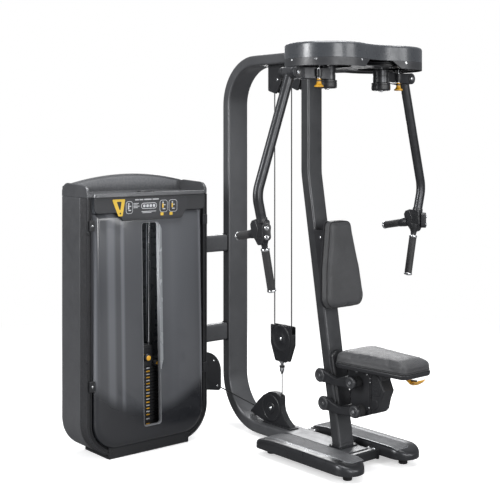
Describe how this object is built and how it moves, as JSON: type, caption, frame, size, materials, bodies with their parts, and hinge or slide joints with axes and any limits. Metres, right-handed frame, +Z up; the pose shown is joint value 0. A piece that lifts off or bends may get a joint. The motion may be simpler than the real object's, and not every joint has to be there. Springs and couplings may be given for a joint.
{
  "type": "pec deck machine",
  "caption": "Seated chest fly machine with swinging overhead arms, bent front column, C-shaped frame, adjustable seat and a shielded weight stack tower at the side.",
  "frame": {"origin": "centre of the bounding box's bottom face, on the floor", "axes": "+Z up; the user sits facing -Y; the weight tower stands on the -X side, at the seated user's right; +X is the user's left"},
  "size_m": [1.5808, 1.466, 2.016],
  "materials": {
    "graphite_frame": "satin metallic powder coat",
    "dark_metal": "matte powder coat",
    "shield_plastic": "smoked gloss",
    "black_plastic": "matte",
    "upholstery": "grained vinyl leatherette",
    "grip_rubber": "matte textured",
    "foot_rubber": "matte",
    "steel_rod": "polished",
    "weight_iron": "painted satin",
    "orange_plastic": "satin",
    "cable_jacket": "satin nylon jacket",
    "pulley_nylon": "satin"
  },
  "bodies": {
    "frame": {"rear_upright_frame": "graphite_frame", "front_column": "graphite_frame", "right_foot_rail": "graphite_frame", "left_foot_rail": "graphite_frame", "right_front_foot": "foot_rubber", "left_front_foot": "foot_rubber", "right_rear_foot": "foot_rubber", "left_rear_foot": "foot_rubber", "upper_link_tube": "graphite_frame", "lower_link_tube": "graphite_frame", "tower_frame": "graphite_frame", "tower_base": "graphite_frame", "tower_top_tray": "black_plastic", "tower_header_panel": "black_plastic", "front_shield": "shield_plastic", "rear_shield": "dark_metal", "right_guide_rod": "steel_rod", "left_guide_rod": "steel_rod", "weight_pack_1": "weight_iron", "weight_pack_2": "weight_iron", "weight_pack_3": "weight_iron", "weight_pack_4": "weight_iron", "weight_pack_5": "weight_iron", "exit_pulley_cover": "graphite_frame", "lower_pulley_housing": "graphite_frame", "top_pulley_bracket": "graphite_frame", "top_crossbeam": "graphite_frame", "shroud_upper": "graphite_frame", "shroud_lower": "graphite_frame", "back_pad": "upholstery", "back_pad_bracket": "black_plastic", "stack_cable": "cable_jacket", "lift_cable": "cable_jacket", "crossover_cable": "cable_jacket", "arm_cable": "cable_jacket"},
    "head_plate": {"head_plate": "weight_iron"},
    "selector_pin": {"selector_pin": "orange_plastic"},
    "floating_block": {"floating_pulley_block": "graphite_frame"},
    "floating_pulley": {"floating_pulley": "pulley_nylon"},
    "lower_pulley": {"lower_pulley": "pulley_nylon"},
    "rear_top_pulley": {"rear_top_pulley": "pulley_nylon"},
    "front_top_pulley": {"front_top_pulley": "pulley_nylon"},
    "tower_top_pulley": {"tower_top_pulley": "pulley_nylon"},
    "lower_seat_link": {"lower_seat_link": "graphite_frame"},
    "upper_seat_link": {"upper_seat_link": "graphite_frame"},
    "seat": {"seat_carriage": "black_plastic", "seat_pad": "upholstery"},
    "seat_lever": {"seat_lever": "orange_plastic"},
    "right_cam": {"right_cam": "dark_metal"},
    "right_arm_carrier": {"right_arm_carrier": "graphite_frame"},
    "right_pull_pin": {"right_pull_pin": "orange_plastic"},
    "right_arm": {"right_arm": "graphite_frame", "right_vertical_grip": "grip_rubber", "right_horizontal_grip": "grip_rubber"},
    "left_cam": {"left_cam": "dark_metal"},
    "left_arm_carrier": {"left_arm_carrier": "graphite_frame"},
    "left_pull_pin": {"left_pull_pin": "orange_plastic"},
    "left_arm": {"left_arm": "graphite_frame", "left_vertical_grip": "grip_rubber", "left_horizontal_grip": "grip_rubber"}
  },
  "joints": [
    {"name": "right_arm_swing", "type": "hinge", "parent": "frame", "child": "right_cam", "pos_m": [0.0234, -0.326, 1.931], "axis": [0, 0, 1], "range_deg": [0, 90]},
    {"name": "left_arm_swing", "type": "hinge", "parent": "frame", "child": "left_cam", "pos_m": [0.3934, -0.326, 1.931], "axis": [0, 0, 1], "range_deg": [-90, 0]},
    {"name": "right_start_adjust", "type": "hinge", "parent": "right_cam", "child": "right_arm_carrier", "pos_m": [0.0234, -0.326, 1.88], "axis": [0, 0, 1], "range_deg": [-20, 20]},
    {"name": "right_pin_pull", "type": "slide", "parent": "right_arm_carrier", "child": "right_pull_pin", "axis": [0, 0, -1], "range_m": [0, 0.012]},
    {"name": "right_arm_tilt", "type": "hinge", "parent": "right_arm_carrier", "child": "right_arm", "pos_m": [-0.1806, -0.293, 1.875], "axis": [0, 1, 0], "range_deg": [-8, 8]},
    {"name": "left_start_adjust", "type": "hinge", "parent": "left_cam", "child": "left_arm_carrier", "pos_m": [0.3934, -0.326, 1.88], "axis": [0, 0, 1], "range_deg": [-20, 20]},
    {"name": "left_pin_pull", "type": "slide", "parent": "left_arm_carrier", "child": "left_pull_pin", "axis": [0, 0, -1], "range_m": [0, 0.012]},
    {"name": "left_arm_tilt", "type": "hinge", "parent": "left_arm_carrier", "child": "left_arm", "pos_m": [0.5974, -0.293, 1.875], "axis": [0, 1, 0], "range_deg": [-8, 8]},
    {"name": "stack_lift", "type": "slide", "parent": "frame", "child": "head_plate", "axis": [0, 0, 1], "range_m": [0, 0.24], "deforming": ["stack_cable"]},
    {"name": "selector_pin_pull", "type": "slide", "parent": "head_plate", "child": "selector_pin", "axis": [0, -1, 0], "range_m": [0, 0.06]},
    {"name": "floating_block_lift", "type": "slide", "parent": "frame", "child": "floating_block", "axis": [0, 0, 1], "range_m": [0, 0.24], "deforming": ["lift_cable", "arm_cable"]},
    {"name": "floating_pulley_spin", "type": "hinge", "parent": "floating_block", "child": "floating_pulley", "pos_m": [0.2084, 0.1935, 0.53], "axis": [1, 0, 0], "continuous": true},
    {"name": "lower_pulley_spin", "type": "hinge", "parent": "frame", "child": "lower_pulley", "pos_m": [0.2084, 0.27, 0.155], "axis": [1, 0, 0], "range_deg": [-195, 0]},
    {"name": "rear_top_pulley_spin", "type": "hinge", "parent": "frame", "child": "rear_top_pulley", "pos_m": [0.2084, 0.211, 1.88], "axis": [1, 0, 0], "range_deg": [0, 280]},
    {"name": "front_top_pulley_spin", "type": "hinge", "parent": "frame", "child": "front_top_pulley", "pos_m": [0.2084, 0.076, 1.88], "axis": [1, 0, 0], "range_deg": [0, 280]},
    {"name": "tower_top_pulley_spin", "type": "hinge", "parent": "frame", "child": "tower_top_pulley", "pos_m": [-0.4276, 0.657, 1.228], "axis": [1, 0, 0], "range_deg": [-280, 0]},
    {"name": "seat_link_swing", "type": "hinge", "parent": "frame", "child": "lower_seat_link", "pos_m": [0.2084, -0.213, 0.288], "axis": [1, 0, 0], "range_deg": [-22, 22]},
    {"name": "upper_seat_link_swing", "type": "hinge", "parent": "frame", "child": "upper_seat_link", "pos_m": [0.2084, -0.19, 0.42], "axis": [1, 0, 0], "range_deg": [-22, 22]},
    {"name": "seat_level", "type": "hinge", "parent": "lower_seat_link", "child": "seat", "pos_m": [0.2084, -0.42, 0.288], "axis": [1, 0, 0], "range_deg": [-22, 22]},
    {"name": "seat_lever_pull", "type": "hinge", "parent": "seat", "child": "seat_lever", "pos_m": [0.2084, -0.549, 0.462], "axis": [1, 0, 0], "range_deg": [-8, 0]}
  ],
  "couplings": [
    {"joint": "left_arm_swing", "follows": "right_arm_swing", "ratio": -1},
    {"joint": "stack_lift", "follows": "right_arm_swing", "m_per_rad": 0.15},
    {"joint": "floating_block_lift", "follows": "right_arm_swing", "m_per_rad": 0.15},
    {"joint": "lower_pulley_spin", "follows": "right_arm_swing", "ratio": -2.1127},
    {"joint": "rear_top_pulley_spin", "follows": "right_arm_swing", "ratio": 3.0612},
    {"joint": "front_top_pulley_spin", "follows": "right_arm_swing", "ratio": 3.0612},
    {"joint": "tower_top_pulley_spin", "follows": "right_arm_swing", "ratio": -3.0612},
    {"joint": "upper_seat_link_swing", "follows": "seat_link_swing", "ratio": 1},
    {"joint": "seat_level", "follows": "seat_link_swing", "ratio": -1}
  ]
}
